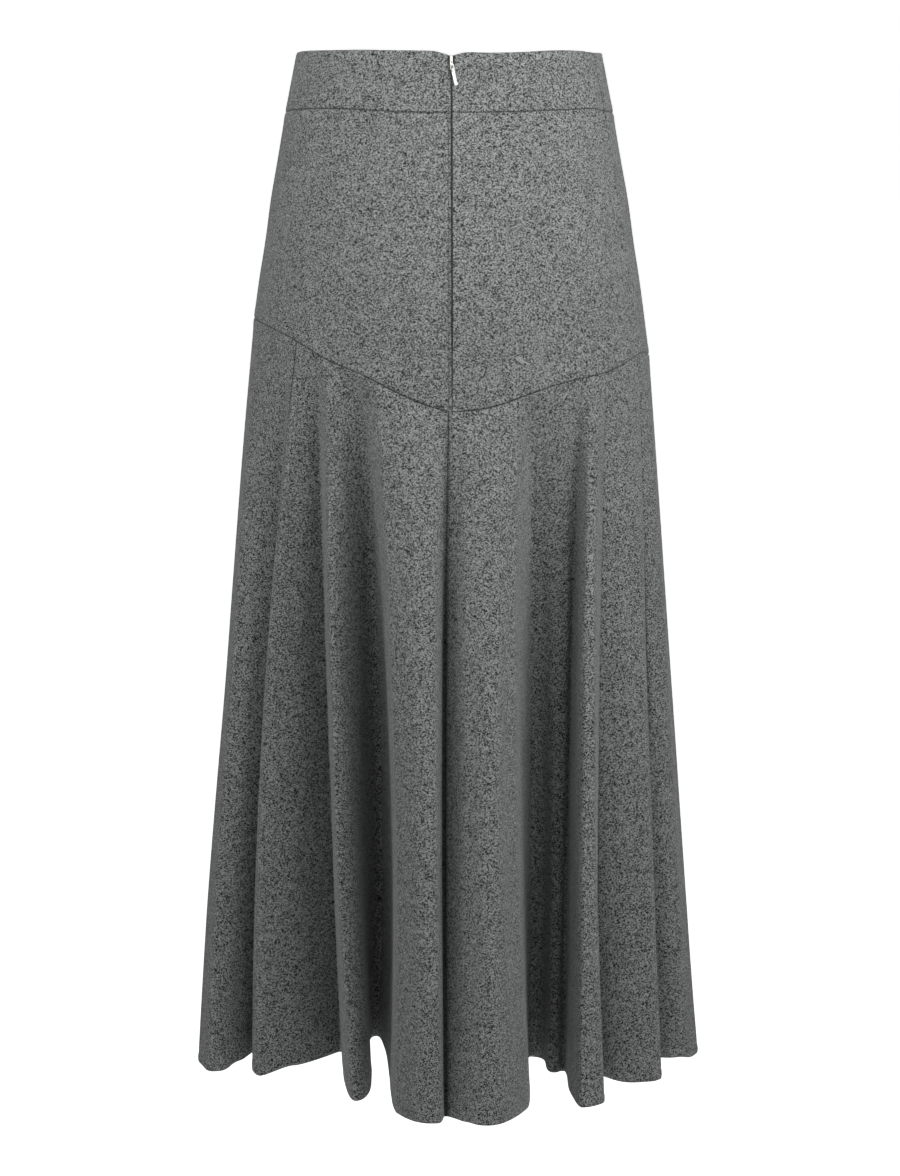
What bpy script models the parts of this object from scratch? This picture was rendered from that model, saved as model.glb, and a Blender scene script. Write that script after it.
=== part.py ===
"""Midi skirt: waistband, hip yoke with a V-shaped seam, and a flared lower part in deep folds.

It is worn by nobody but filled out, and hangs from its waist. +Z is up, the back with the zip
faces -Y, and the origin is the middle of the waist at the height of the band's top edge.
A turn is the angle round the body in degrees: 0 at centre back, 90 at +X, 180 at centre front.
Lengths are metres, and millimetres in the tables.
"""
import math

import bpy
import numpy as np

mm = 0.001

# Cloth
clothThick = 1.6 * mm        # wool flannel with its seam and hem allowances pressed behind it
bandThick = 2.4 * mm         # the waistband is two layers of cloth and an interfacing
tapeThick = 0.9 * mm
seamGap = 0.3 * mm
squareness = 2.15            # how square the body's rings are: 2 is an ellipse

# Seams that run down, as turns
zipTurn = 0.55
backSeamTurn = -0.1
rightGoreTurn = 48.7
leftGoreTurn = -48.1
rightSideTurn = 69.5
leftSideTurn = -92.0

# Body under the cloth: a row for each level, with the half width and the half depths there
bodyLevels = [
    # height, halfWidth, backDepth, frontDepth
    (0.0, 117.0, 88.0, 86.0),
    (-46.0, 126.0, 96.0, 93.0),
    (-90.0, 133.7, 105.0, 100.0),
    (-121.0, 139.2, 111.0, 105.0),
    (-153.0, 143.7, 117.0, 109.0),
    (-184.0, 148.8, 121.5, 112.0),
    (-216.0, 153.3, 124.0, 114.5),
    (-245.0, 157.0, 125.0, 116.0),
    (-290.0, 161.0, 126.0, 118.0),
]

# Heights of the three level edges: a row for each turn where they were read
edgeHeights = [
    # turn, top, bandSeam, yokeSeam
    (-180.0, -16.5, -61.5, -262.0),
    (-135.0, -13.5, -58.8, -240.0),
    (-92.0, -7.0, -53.5, -214.0),
    (-72.0, -3.5, -48.6, -212.5),
    (-48.0, -0.8, -45.0, -221.6),
    (-35.0, 0.2, -44.3, -233.8),
    (-22.0, 0.4, -45.0, -245.0),
    (-14.0, 0.5, -45.6, -255.2),
    (-6.0, 0.3, -45.6, -264.8),
    (0.0, 0.0, -45.5, -269.8),
    (6.0, -0.4, -45.6, -269.2),
    (12.0, -1.0, -45.6, -266.0),
    (21.0, -1.0, -45.5, -258.2),
    (30.0, -0.8, -45.4, -251.6),
    (40.0, -0.5, -45.4, -247.9),
    (49.0, -1.0, -45.6, -245.4),
    (61.0, -2.6, -46.4, -239.8),
    (69.5, -4.2, -49.0, -236.0),
    (90.0, -7.0, -53.5, -242.4),
    (135.0, -13.5, -58.8, -252.0),
    (180.0, -16.5, -61.5, -262.0),
]
edgeColumns = ("turn", "top", "bandSeam", "yokeSeam")

# Folds of the lower part: a row for each crest and each valley, going round from centre back.
# x and y are its place at the hem, heading is the way the hem runs there (0 is +X, 90 is +Y),
# pace is how much hem each degree of the yoke has there, rise is how far the hem is drawn up,
# and sway and belly move its line halfway down, along the hem and outward.
foldColumns = ("turn", "x", "y", "heading", "pace", "rise", "sway", "belly")
folds = [
    (4.5, 12, -177, 335, 3.5, 0, 0, 0),      # slope that comes forward from the back seam
    (10, 30, -187, 3, 6, 0, 0, 2),           # centre-right crest
    (17.3, 61.5, -142, 68, 9, 0, -10, 4),    # its right shoulder
    (22, 66, -26, 350, 5, 8, 0, 0),          # valley behind it
    (33.5, 84, -56, 5, 3.5, 4, 3, 0),        # recess
    (37.5, 91, -46, 320, 2.5, 2, 0, 0),      # crease at the foot of the next fold
    (42, 103.5, -139, 10, 6, 0, 0, 0),       # narrow crest
    (46.5, 121.5, -124, 78, 4, 0, -11, 0),   # its right edge, beside the right gore seam
    (48.7, 117.5, -60, 335, 3, 3, -6, 4),    # right gore seam, behind that edge
    (60, 150, -70, 12, 5, 0, 0, 2),          # right crest
    (66.8, 168.5, -60, 60, 4, 0, -5, 0),     # its right edge
    (69.5, 164.5, -8, 335, 3, 3, -4, 1),     # right side seam, behind that edge
    (77, 184, -14, 25, 3, 4, -2, 0),         # last face that shows from behind
    (88, 201, 12, 70, 5, 0, 0, -5),          # side crest
    (102, 172, 48, 80, 4, 2, 0, 0),          # valley
    (113, 180, 92, 110, 5, 0, 0, 0),         # crest
    (124, 130, 78, 150, 5, 3, 0, 0),         # valley
    (135, 128, 142, 140, 6, 0, 0, 0),        # crest
    (146, 90, 88, 165, 5, 4, 0, 0),          # valley
    (157, 78, 168, 160, 6, 0, 0, 0),         # crest
    (168, 44, 96, 180, 5, 4, 0, 0),          # valley
    (180, 12, 178, 178, 6, 0, 0, 0),         # front crest
    (191, -20, 104, 180, 5, 3, 0, 0),        # valley
    (202, -52, 172, 195, 6, 0, 0, 0),        # crest
    (213, -78, 92, 190, 5, 4, 0, 0),         # valley
    (224, -112, 150, 210, 6, 0, 0, 0),       # crest
    (235, -118, 78, 215, 5, 3, 0, 0),        # valley
    (246, -168, 98, 240, 5, 0, 0, 0),        # crest
    (257, -160, 44, 270, 4, 3, 0, 0),        # valley
    (277, -200, -16, 290, 4.5, 0, 0, -2.5),  # left side
    (289, -184, -38, 15, 3, 0, 0, 0),        # left crest
    (298, -169, -23, 45, 3, 4, 3, 0),        # face that sinks under the next fold
    (306.5, -155, -4, 50, 3, 7, 6, 0),       # valley under it
    (314, -152, -52, 325, 6.5, 0, -7.5, 0),  # crest by the left gore seam
    (316.8, -124, -50, 8, 8, 8, -6, 0),      # face that sinks under the narrow fold
    (320.5, -88, -27, 45, 5, 12.5, -5, 0),   # valley under it
    (325.5, -73, -121, 12, 8, 0, -11, 0),    # narrow crest
    (335, -58.5, -14, 355, 5, 22, 9, 0),     # deep valley
    (341.5, -42.5, -154, 296, 5.5, 0, 6.5, 2),   # left corner of the centre-left fold
    (355.8, -7.5, -181, 15, 3, 0, -1, 3),    # its right edge, beside the back seam
    (359.9, -2.5, -166, 20, 2, 1, -2, -16),  # back seam, in a groove
]
hemHeight = -815.0 * mm      # level of the hem at the crests
hemHalfWidth = 165.0 * mm    # mean oval of the hem, which the folds swing about
hemHalfDepth = 118.0 * mm
foldOnset = 0.6              # how much sooner than evenly the folds deepen under the yoke

# Zip
zipDown = -223.0 * mm        # where the visible opening ends
notchDeep = 2.6 * mm         # the two upper corners of the band fall away to the zip
notchWide = 4.8 * mm
openingHalf = 1.5 * mm       # half the gap that the slider holds open at the top
openingDown = 16.0 * mm      # over this much of the height
tapeTop = -3.3 * mm
tapeFrom = 1.0 * mm          # beside the middle
tapeWide = 12.0 * mm
tapeGap = 0.4 * mm           # behind the cloth
tapeEasing = 30.0 * mm       # below the band the tapes ease out from its thickness to the yoke's
pivotHeight = -10.2 * mm     # of the pull tab
pivotOut = 1.65 * mm         # in front of the cloth
tabTilt = 13.0               # the tab hangs askew by this many degrees
bandSlope = 9.5              # and it and the slider lean out with the band by these

# Numbers of columns and rows
bandColumns = 40
bandRows = 2
yokeColumns = 46
yokeRows = 7
lowerRows = 9
columnEvery = 22.0 * mm      # of hem
columnTurn = 31.0            # or of the hem's heading, in degrees


def column(rows, names, name):
    return np.array([row[names.index(name)] for row in rows], float)


def eased(at, values, where):
    """Smooth line through the values, with the slopes of their neighbours."""
    slopes = np.gradient(values, at)
    i = np.clip(np.searchsorted(at, where, side="right") - 1, 0, len(at) - 2)
    width = at[i + 1] - at[i]
    t = np.clip((where - at[i]) / width, 0.0, 1.0)
    return ((2 * t**3 - 3 * t**2 + 1) * values[i] + (t**3 - 2 * t**2 + t) * width * slopes[i]
            + (3 * t**2 - 2 * t**3) * values[i + 1] + (t**3 - t**2) * width * slopes[i + 1])


def bodySize(height, which):
    rows = bodyLevels[::-1]
    at = np.array([row[0] for row in rows]) * mm
    values = np.array([row[which] for row in rows]) * mm
    return eased(at, values, np.clip(height, at[0], at[-1]))


def onOval(turn, halfWidth, backDepth, frontDepth, power):
    s = np.sin(np.radians(turn))
    c = np.cos(np.radians(turn))
    x = halfWidth * np.sign(s) * np.abs(s) ** (2 / power)
    y = -np.where(c > 0, backDepth, frontDepth) * np.sign(c) * np.abs(c) ** (2 / power)
    return x, y


def bodyPoint(turn, height):
    x, y = onOval(turn, bodySize(height, 1), bodySize(height, 2), bodySize(height, 3), squareness)
    return np.stack([x, y, height + 0 * x], -1)


def edgeHeight(turn, name):
    at = column(edgeHeights, edgeColumns, "turn")
    values = column(edgeHeights, edgeColumns, name) * mm
    turn = (np.asarray(turn, float) + 180.0) % 360.0 - 180.0
    height = eased(at, values, turn)
    if name == "top":
        away = np.radians(turn - zipTurn) * bodySize(0.0, 2) / notchWide
        height = height - notchDeep * np.exp(-away**2)
    return height


def aroundFolds(name):
    """A fold column with its last row before the first and its first two after the last."""
    values = column(folds, foldColumns, name)
    full = 360.0 if name in ("turn", "heading") else 0.0
    return np.concatenate([values[-1:] - full, values, values[:1] + full])


def hemLine(turn):
    """Where the hem is at these turns: x, y and the eased rise, sway and belly."""
    turn = np.asarray(turn, float) % 360.0
    at = aroundFolds("turn")
    i = np.clip(np.searchsorted(at, turn, side="right") - 1, 0, len(at) - 2)
    width = at[i + 1] - at[i]
    t = (turn - at[i]) / width
    heading = np.radians(aroundFolds("heading"))
    pace = aroundFolds("pace")
    line = []
    for name, along in (("x", np.cos(heading)), ("y", np.sin(heading))):
        place = aroundFolds(name)
        slope = along * pace
        line.append(((2 * t**3 - 3 * t**2 + 1) * place[i]
                     + (t**3 - 2 * t**2 + t) * width * slope[i]
                     + (3 * t**2 - 2 * t**3) * place[i + 1]
                     + (t**3 - t**2) * width * slope[i + 1]) * mm)
    soft = t * t * (3 - 2 * t)
    for name in ("rise", "sway", "belly"):
        values = aroundFolds(name)
        line.append((values[i] * (1 - soft) + values[i + 1] * soft) * mm)
    return line


def lowerPoint(turn, share):
    """A point of the lower part, at a share of the way from the yoke seam to the hem."""
    top = bodyPoint(turn, edgeHeight(turn, "yokeSeam"))
    x, y, rise, sway, belly = hemLine(turn)
    meanX, meanY = onOval(turn, hemHalfWidth, hemHalfDepth, hemHalfDepth, 2.0)
    deepen = share * (1 + foldOnset * (1 - share))
    bow = 4 * share * (1 - share)
    out = np.radians(turn)
    out = np.stack([np.sin(out), -np.cos(out)], -1)
    along = np.stack([-out[..., 1], out[..., 0]], -1)
    plan = (top[..., :2] * (1 - share)[..., None]
            + np.stack([meanX, meanY], -1) * share[..., None]
            + np.stack([x - meanX, y - meanY], -1) * deepen[..., None]
            + along * (sway * bow)[..., None] + out * (belly * bow)[..., None])
    height = top[..., 2] + (hemHeight + rise - top[..., 2]) * share
    return np.concatenate([plan, height[..., None]], -1)


def outward(place, turn, down):
    """Outward directions of a surface, kept level, from its points a little to either side."""
    along = place(turn + 0.02, down) - place(turn - 0.02, down)
    out = np.stack([along[..., 1], -along[..., 0], 0 * along[..., 0]], -1)
    return out / np.linalg.norm(out, axis=-1, keepdims=True)


def colourOf(name, colour, roughness, metallic=0.0):
    material = bpy.data.materials.new(name)
    material.use_nodes = True
    shader = material.node_tree.nodes["Principled BSDF"]
    shader.inputs["Base Color"].default_value = (*colour, 1.0)
    shader.inputs["Roughness"].default_value = roughness
    shader.inputs["Metallic"].default_value = metallic
    material.diffuse_color = (*colour, 1.0)
    return material


def solid(name, points, faces, material):
    mesh = bpy.data.meshes.new(name)
    mesh.from_pydata([tuple(map(float, p)) for p in points], [], faces)
    mesh.validate()
    mesh.update()
    mesh.materials.append(material)
    piece = bpy.data.objects.new(name, mesh)
    bpy.context.scene.collection.objects.link(piece)
    return piece


def wall(name, outer, inner, material):
    """A closed wall between two grids, whose rows go down and whose columns go round."""
    rows, columns = outer.shape[:2]
    points = np.concatenate([outer.reshape(-1, 3), inner.reshape(-1, 3)])
    behind = rows * columns
    faces = []
    for r in range(rows - 1):
        for c in range(columns - 1):
            a = r * columns + c
            b, low, lowB = a + 1, a + columns, a + columns + 1
            faces.append((a, low, lowB, b))
            faces.append((a + behind, b + behind, lowB + behind, low + behind))
    for c in range(columns - 1):
        a = c
        faces.append((a, a + 1, a + 1 + behind, a + behind))
        a = (rows - 1) * columns + c
        faces.append((a, a + behind, a + 1 + behind, a + 1))
    for r in range(rows - 1):
        a = r * columns
        faces.append((a, a + behind, a + columns + behind, a + columns))
        a = r * columns + columns - 1
        faces.append((a, a + columns, a + columns + behind, a + behind))
    return solid(name, points, faces, material)


def openingTrim(height, top):
    """Half the gap at the back opening: a seam's, and wider at the top where the slider is."""
    share = np.clip(1 - (top - height) / openingDown, 0.0, 1.0)
    return seamGap / 2 + (openingHalf - seamGap / 2) * share * share * (3 - 2 * share)


def bodyPiece(name, start, end, upper, lower, rows, columns, thick, material):
    """A piece of the waistband or yoke between two turns and two edges."""
    top = 0.0 if upper == "top" else seamGap / 2
    turns = np.linspace(start, end, columns)
    if zipTurn in (start, end):
        bunch = np.linspace(0.0, 1.0, columns)
        bunch = bunch**1.7 if start == zipTurn else 1 - (1 - bunch) ** 1.7
        turns = start + (end - start) * bunch
    share = (turns - start) / (end - start)
    grid = []
    out = []
    for row in np.linspace(0.0, 1.0, rows):
        high = edgeHeight(turns, upper) - top
        low = edgeHeight(turns, lower) + seamGap / 2
        height = high + (low - high) * row
        reach = bodySize(height, 2)
        trims = [seamGap / 2 + 0 * height, seamGap / 2 + 0 * height]
        atZip = openingTrim(height, edgeHeight(zipTurn, "top"))
        if start == zipTurn:
            trims[0] = atZip
        if end == zipTurn:
            trims[1] = atZip
        shift = np.degrees(trims[0] / reach) * (1 - share) ** 3
        shift = shift - np.degrees(trims[1] / reach) * share**3
        grid.append(bodyPoint(turns + shift, height))
        out.append(outward(bodyPoint, turns + shift, height))
    grid = np.array(grid)
    return wall(name, grid, grid - np.array(out) * thick, material)


def hemColumns(start, end):
    """Turns for a lower panel, closer together where its hem bends."""
    fine = np.linspace(start, end, 900)
    x, y = hemLine(fine)[:2]
    length = np.hypot(np.diff(x), np.diff(y))
    heading = np.unwrap(np.arctan2(np.diff(y), np.diff(x)))
    bend = np.abs(np.diff(heading, append=heading[-1]))
    share = np.concatenate([[0.0], np.cumsum(length / columnEvery + np.degrees(bend) / columnTurn)])
    count = int(math.ceil(share[-1])) + 1
    return np.interp(np.linspace(0.0, share[-1], count), share, fine)


def lowerPiece(name, start, end, material):
    turns = hemColumns(start, end)
    x, y = hemLine(turns)[:2]
    pace = np.hypot(np.gradient(x, turns), np.gradient(y, turns))
    grid = []
    out = []
    for row in np.linspace(0.0, 1.0, lowerRows):
        paceHere = 2.7 * mm * (1 - row) + pace * row
        placed = turns.copy()
        placed[0] += seamGap / 2 / paceHere[0]
        placed[-1] -= seamGap / 2 / paceHere[-1]
        share = np.full(len(turns), row)
        points = lowerPoint(placed, share)
        if row == 0.0:
            points[:, 2] -= seamGap / 2
        grid.append(points)
        out.append(outward(lowerPoint, placed, share))
    grid = np.array(grid)
    return wall(name, grid, grid - np.array(out) * clothThick, material)


def tapePiece(name, side, material):
    """Half of the zip's tape, behind the cloth beside the opening."""
    heights = np.linspace(tapeTop, zipDown - 12.0 * mm, 13)
    across = np.linspace(tapeFrom, tapeFrom + tapeWide, 4)
    if side < 0:
        across = -across[::-1]
    turns = zipTurn + np.degrees(across / bodySize(heights, 2)[:, None])
    down = heights[:, None] + 0 * turns
    grid = bodyPoint(turns, down)
    out = outward(bodyPoint, turns, down)
    below = (edgeHeight(0.0, "bandSeam") - heights) / tapeEasing
    clear = bandThick + (clothThick - bandThick) * np.clip(below - 0.1, 0.0, 1.0)
    outer = grid - out * (clear + tapeGap)[:, None, None]
    return wall(name, outer, outer - out * tapeThick, material)


def blocks(name, xs, ys, zs, filled, place, material, tilt=0.0):
    """One solid of boxes on a shared grid; filled holds (x, y, z) ranges of grid cells.

    It is tilted in its own plane, then leans out with the band.
    """
    cells = np.zeros((len(xs) - 1, len(ys) - 1, len(zs) - 1), bool)
    for (x0, x1), (y0, y1), (z0, z1) in filled:
        cells[x0:x1, y0:y1, z0:z1] = True
    number = {}
    points = []
    faces = []

    def corner(i, j, k):
        if (i, j, k) not in number:
            number[(i, j, k)] = len(points)
            c, s = math.cos(math.radians(tilt)), math.sin(math.radians(tilt))
            x, y, z = xs[i] * c - zs[k] * s, ys[j], xs[i] * s + zs[k] * c
            c, s = math.cos(math.radians(bandSlope)), math.sin(math.radians(bandSlope))
            points.append((place[0] + x, place[1] + y * c + z * s, place[2] - y * s + z * c))
        return number[(i, j, k)]

    around = {
        (-1, 0, 0): ((0, 0, 0), (0, 0, 1), (0, 1, 1), (0, 1, 0)),
        (1, 0, 0): ((1, 0, 0), (1, 1, 0), (1, 1, 1), (1, 0, 1)),
        (0, -1, 0): ((0, 0, 0), (1, 0, 0), (1, 0, 1), (0, 0, 1)),
        (0, 1, 0): ((0, 1, 0), (0, 1, 1), (1, 1, 1), (1, 1, 0)),
        (0, 0, -1): ((0, 0, 0), (0, 1, 0), (1, 1, 0), (1, 0, 0)),
        (0, 0, 1): ((0, 0, 1), (1, 0, 1), (1, 1, 1), (0, 1, 1)),
    }
    for i, j, k in zip(*np.nonzero(cells)):
        for (di, dj, dk), corners in around.items():
            n = (i + di, j + dj, k + dk)
            inside = all(0 <= n[a] < cells.shape[a] for a in range(3)) and cells[n]
            if not inside:
                faces.append(tuple(corner(i + a, j + b, k + c) for a, b, c in corners))
    return solid(name, points, faces, material)


for old in list(bpy.data.objects):
    bpy.data.objects.remove(old, do_unlink=True)

grey = (0.175, 0.18, 0.178)
flannel = {piece: colourOf(f"{piece}_flannel", shade, 0.95) for piece, shade in (
    ("waistband_back_left", grey), ("waistband_back_right", grey), ("waistband_front", grey),
    ("yoke_back_left", grey), ("yoke_back_right", grey), ("yoke_front", grey),
    ("gore_back_left", grey), ("gore_back_right", grey), ("gore_side_left", grey),
    ("gore_side_right", grey), ("flare_front", grey))}
tapeCloth = [colourOf(f"zip_tape_{side}_woven", (0.09, 0.09, 0.095), 0.8) for side in ("left", "right")]
sliderMetal = colourOf("zip_slider_metal", (0.78, 0.78, 0.78), 0.3, 1.0)
tabMetal = colourOf("zip_tab_metal", (0.78, 0.78, 0.78), 0.3, 1.0)

# Waistband and yoke: the two halves of the back meet at the zip, the front is one piece
for name, start, end in (("back_left", leftSideTurn, zipTurn), ("back_right", zipTurn, rightSideTurn),
                         ("front", rightSideTurn, 360.0 + leftSideTurn)):
    columns = bandColumns if name == "front" else bandColumns * 2 // 3
    bodyPiece(f"waistband_{name}", start, end, "top", "bandSeam", bandRows + 1, columns,
              bandThick, flannel[f"waistband_{name}"])
    columns = yokeColumns if name == "front" else yokeColumns * 2 // 3
    bodyPiece(f"yoke_{name}", start, end, "bandSeam", "yokeSeam", yokeRows + 1, columns,
              clothThick, flannel[f"yoke_{name}"])

# Flared lower part: four back gores and the front
for name, start, end in (("gore_side_left", leftSideTurn, leftGoreTurn),
                         ("gore_back_left", leftGoreTurn, backSeamTurn),
                         ("gore_back_right", backSeamTurn, rightGoreTurn),
                         ("gore_side_right", rightGoreTurn, rightSideTurn),
                         ("flare_front", rightSideTurn, 360.0 + leftSideTurn)):
    lowerPiece(name, start, end, flannel[name])

# Zip: its two tapes, its slider with a bail outside the opening, and the pull tab on the bail
tapePiece("zip_tape_left", -1, tapeCloth[0])
tapePiece("zip_tape_right", 1, tapeCloth[1])
zipX = float(bodyPoint(zipTurn, pivotHeight)[0])
zipY = float(bodyPoint(zipTurn, pivotHeight)[1])
sliderX = np.array([-3.4, -0.4, 0.4, 3.4]) * mm
sliderY = np.array([-1.75, -0.95, 0.95, 5.65, 8.25]) * mm
sliderZ = np.array([-5.0, -2.1, -1.3, 1.3, 2.1, 7.6]) * mm
lean = math.radians(bandSlope)
pivot = (zipX, zipY - pivotOut * math.cos(lean), pivotHeight + pivotOut * math.sin(lean))
blocks("zip_slider", sliderX, sliderY, sliderZ, [
    ((0, 3), (3, 4), (0, 5)),     # body behind the tapes
    ((1, 2), (2, 3), (1, 4)),     # neck through the opening
    ((1, 2), (0, 2), (1, 2)),     # lower arm of the bail
    ((1, 2), (0, 2), (3, 4)),     # upper arm
    ((1, 2), (0, 1), (1, 4)),     # outer bar
], pivot, sliderMetal)
tabX = np.array([-1.45, -1.2, -1.0, 1.0, 1.2, 1.45]) * mm
tabY = np.array([-0.45, 0.45]) * mm
tabZ = np.array([-16.6, -4.3, -3.3, -0.5, 0.5]) * mm
blocks("zip_tab", tabX, tabY, tabZ, [
    ((1, 4), (0, 1), (0, 1)),     # plate
    ((0, 5), (0, 1), (1, 2)),     # its shoulders
    ((0, 2), (0, 1), (2, 4)),     # left prong
    ((3, 5), (0, 1), (2, 4)),     # right prong
    ((2, 3), (0, 1), (3, 4)),     # pin through the bail
], pivot, tabMetal, tilt=tabTilt)
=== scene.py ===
import math

import bmesh
import bpy
import numpy as np
from mathutils import Matrix


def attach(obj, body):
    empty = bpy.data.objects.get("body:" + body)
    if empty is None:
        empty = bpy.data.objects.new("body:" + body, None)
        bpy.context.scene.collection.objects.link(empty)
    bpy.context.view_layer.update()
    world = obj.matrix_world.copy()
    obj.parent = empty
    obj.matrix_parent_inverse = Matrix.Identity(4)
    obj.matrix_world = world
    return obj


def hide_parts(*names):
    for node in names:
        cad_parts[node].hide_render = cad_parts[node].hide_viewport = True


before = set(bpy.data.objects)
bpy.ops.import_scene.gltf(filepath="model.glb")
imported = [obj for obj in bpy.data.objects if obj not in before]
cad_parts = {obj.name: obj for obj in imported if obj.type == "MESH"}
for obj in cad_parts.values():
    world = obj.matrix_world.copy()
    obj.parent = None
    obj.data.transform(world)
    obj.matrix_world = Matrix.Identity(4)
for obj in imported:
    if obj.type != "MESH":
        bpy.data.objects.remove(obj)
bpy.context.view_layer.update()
mm = 0.001
scene = bpy.context.scene
print("frame loaded")


# Camera: a long lens at the height of the chest, straight behind the skirt and tipped down
photoView = {
    "place": (0.0005, -3.6, 0.227),
    "down": 10.33,               # degrees
    "focalPixels": 4618.0,       # in a picture 1176 pixels tall
    "pictureTall": 1176.0,
}


def makeCamera(view):
    data = bpy.data.cameras.new("photoCamera")
    data.sensor_fit = "VERTICAL"
    data.sensor_height = 36.0
    data.lens = 36.0 * view["focalPixels"] / view["pictureTall"]
    data.clip_end = 200.0
    camera = bpy.data.objects.new("photoCamera", data)
    camera.location = view["place"]
    camera.rotation_euler = (math.radians(90.0 - view["down"]), 0.0, 0.0)
    scene.collection.objects.link(camera)
    scene.camera = camera


makeCamera(photoView)
print("camera placed")


# The garment's form, as in its solids. A turn is the angle round the body: 0 at centre back,
# 90 at +X, 180 at centre front. Lengths in the tables are millimetres.
seamTurns = {"zip": 0.55, "back": -0.1, "rightGore": 48.7, "leftGore": -48.1,
             "rightSide": 69.5, "leftSide": -92.0}
squareness = 2.15

bodyColumns = ("height", "halfWidth", "backDepth", "frontDepth")
bodyLevels = [
    (0.0, 117.0, 88.0, 86.0),
    (-46.0, 126.0, 96.0, 93.0),
    (-90.0, 133.7, 105.0, 100.0),
    (-121.0, 139.2, 111.0, 105.0),
    (-153.0, 143.7, 117.0, 109.0),
    (-184.0, 148.8, 121.5, 112.0),
    (-216.0, 153.3, 124.0, 114.5),
    (-245.0, 157.0, 125.0, 116.0),
    (-290.0, 161.0, 126.0, 118.0),
]

edgeColumns = ("turn", "top", "bandSeam", "yokeSeam")
edgeHeights = [
    (-180.0, -16.5, -61.5, -262.0),
    (-135.0, -13.5, -58.8, -240.0),
    (-92.0, -7.0, -53.5, -214.0),
    (-72.0, -3.5, -48.6, -212.5),
    (-48.0, -0.8, -45.0, -221.6),
    (-35.0, 0.2, -44.3, -233.8),
    (-22.0, 0.4, -45.0, -245.0),
    (-14.0, 0.5, -45.6, -255.2),
    (-6.0, 0.3, -45.6, -264.8),
    (0.0, 0.0, -45.5, -269.8),
    (6.0, -0.4, -45.6, -269.2),
    (12.0, -1.0, -45.6, -266.0),
    (21.0, -1.0, -45.5, -258.2),
    (30.0, -0.8, -45.4, -251.6),
    (40.0, -0.5, -45.4, -247.9),
    (49.0, -1.0, -45.6, -245.4),
    (61.0, -2.6, -46.4, -239.8),
    (69.5, -4.2, -49.0, -236.0),
    (90.0, -7.0, -53.5, -242.4),
    (135.0, -13.5, -58.8, -252.0),
    (180.0, -16.5, -61.5, -262.0),
]

foldColumns = ("turn", "x", "y", "heading", "pace", "rise", "sway", "belly")
folds = [                                   # each crest and each valley of the flared part
    (4.5, 12, -177, 335, 3.5, 0, 0, 0),
    (10, 30, -187, 3, 6, 0, 0, 2),
    (17.3, 61.5, -142, 68, 9, 0, -10, 4),
    (22, 66, -26, 350, 5, 8, 0, 0),
    (33.5, 84, -56, 5, 3.5, 4, 3, 0),
    (37.5, 91, -46, 320, 2.5, 2, 0, 0),
    (42, 103.5, -139, 10, 6, 0, 0, 0),
    (46.5, 121.5, -124, 78, 4, 0, -11, 0),
    (48.7, 117.5, -60, 335, 3, 3, -6, 4),
    (60, 150, -70, 12, 5, 0, 0, 2),
    (66.8, 168.5, -60, 60, 4, 0, -5, 0),
    (69.5, 164.5, -8, 335, 3, 3, -4, 1),
    (77, 184, -14, 25, 3, 4, -2, 0),
    (88, 201, 12, 70, 5, 0, 0, -5),
    (102, 172, 48, 80, 4, 2, 0, 0),
    (113, 180, 92, 110, 5, 0, 0, 0),
    (124, 130, 78, 150, 5, 3, 0, 0),
    (135, 128, 142, 140, 6, 0, 0, 0),
    (146, 90, 88, 165, 5, 4, 0, 0),
    (157, 78, 168, 160, 6, 0, 0, 0),
    (168, 44, 96, 180, 5, 4, 0, 0),
    (180, 12, 178, 178, 6, 0, 0, 0),
    (191, -20, 104, 180, 5, 3, 0, 0),
    (202, -52, 172, 195, 6, 0, 0, 0),
    (213, -78, 92, 190, 5, 4, 0, 0),
    (224, -112, 150, 210, 6, 0, 0, 0),
    (235, -118, 78, 215, 5, 3, 0, 0),
    (246, -168, 98, 240, 5, 0, 0, 0),
    (257, -160, 44, 270, 4, 3, 0, 0),
    (277, -200, -16, 290, 4.5, 0, 0, -2.5),
    (289, -184, -38, 15, 3, 0, 0, 0),
    (298, -169, -23, 45, 3, 4, 3, 0),
    (306.5, -155, -4, 50, 3, 7, 6, 0),
    (314, -152, -52, 325, 6.5, 0, -7.5, 0),
    (316.8, -124, -50, 8, 8, 8, -6, 0),
    (320.5, -88, -27, 45, 5, 12.5, -5, 0),
    (325.5, -73, -121, 12, 8, 0, -11, 0),
    (335, -58.5, -14, 355, 5, 22, 9, 0),
    (341.5, -42.5, -154, 296, 5.5, 0, 6.5, 2),
    (355.8, -7.5, -181, 15, 3, 0, -1, 3),
    (359.9, -2.5, -166, 20, 2, 1, -2, -16),
]
hem = {"height": -815.0 * mm, "halfWidth": 165.0 * mm, "halfDepth": 118.0 * mm, "foldOnset": 0.6}
notch = {"deep": 2.6 * mm, "wide": 4.8 * mm}        # the band's corners fall away to the zip
opening = {"half": 1.5 * mm, "down": 16.0 * mm, "seamGap": 0.3 * mm}


def column(rows, names, name):
    return np.array([row[names.index(name)] for row in rows], float)


def between(i, t, width, values, slopes):            # a smooth line from one value to the next
    return ((2 * t**3 - 3 * t**2 + 1) * values[i] + (t**3 - 2 * t**2 + t) * width * slopes[i]
            + (3 * t**2 - 2 * t**3) * values[i + 1] + (t**3 - t**2) * width * slopes[i + 1])


def eased(at, values, where):
    i = np.clip(np.searchsorted(at, where, side="right") - 1, 0, len(at) - 2)
    width = at[i + 1] - at[i]
    t = np.clip((where - at[i]) / width, 0.0, 1.0)
    return between(i, t, width, values, np.gradient(values, at))


def bell(away, wide):                                # 1 at no distance, and soon nothing
    return np.exp(-(away / wide) ** 2)


def bodySize(height, name):
    at = column(bodyLevels, bodyColumns, "height")[::-1] * mm
    values = column(bodyLevels, bodyColumns, name)[::-1] * mm
    return eased(at, values, np.clip(height, at[0], at[-1]))


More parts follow.
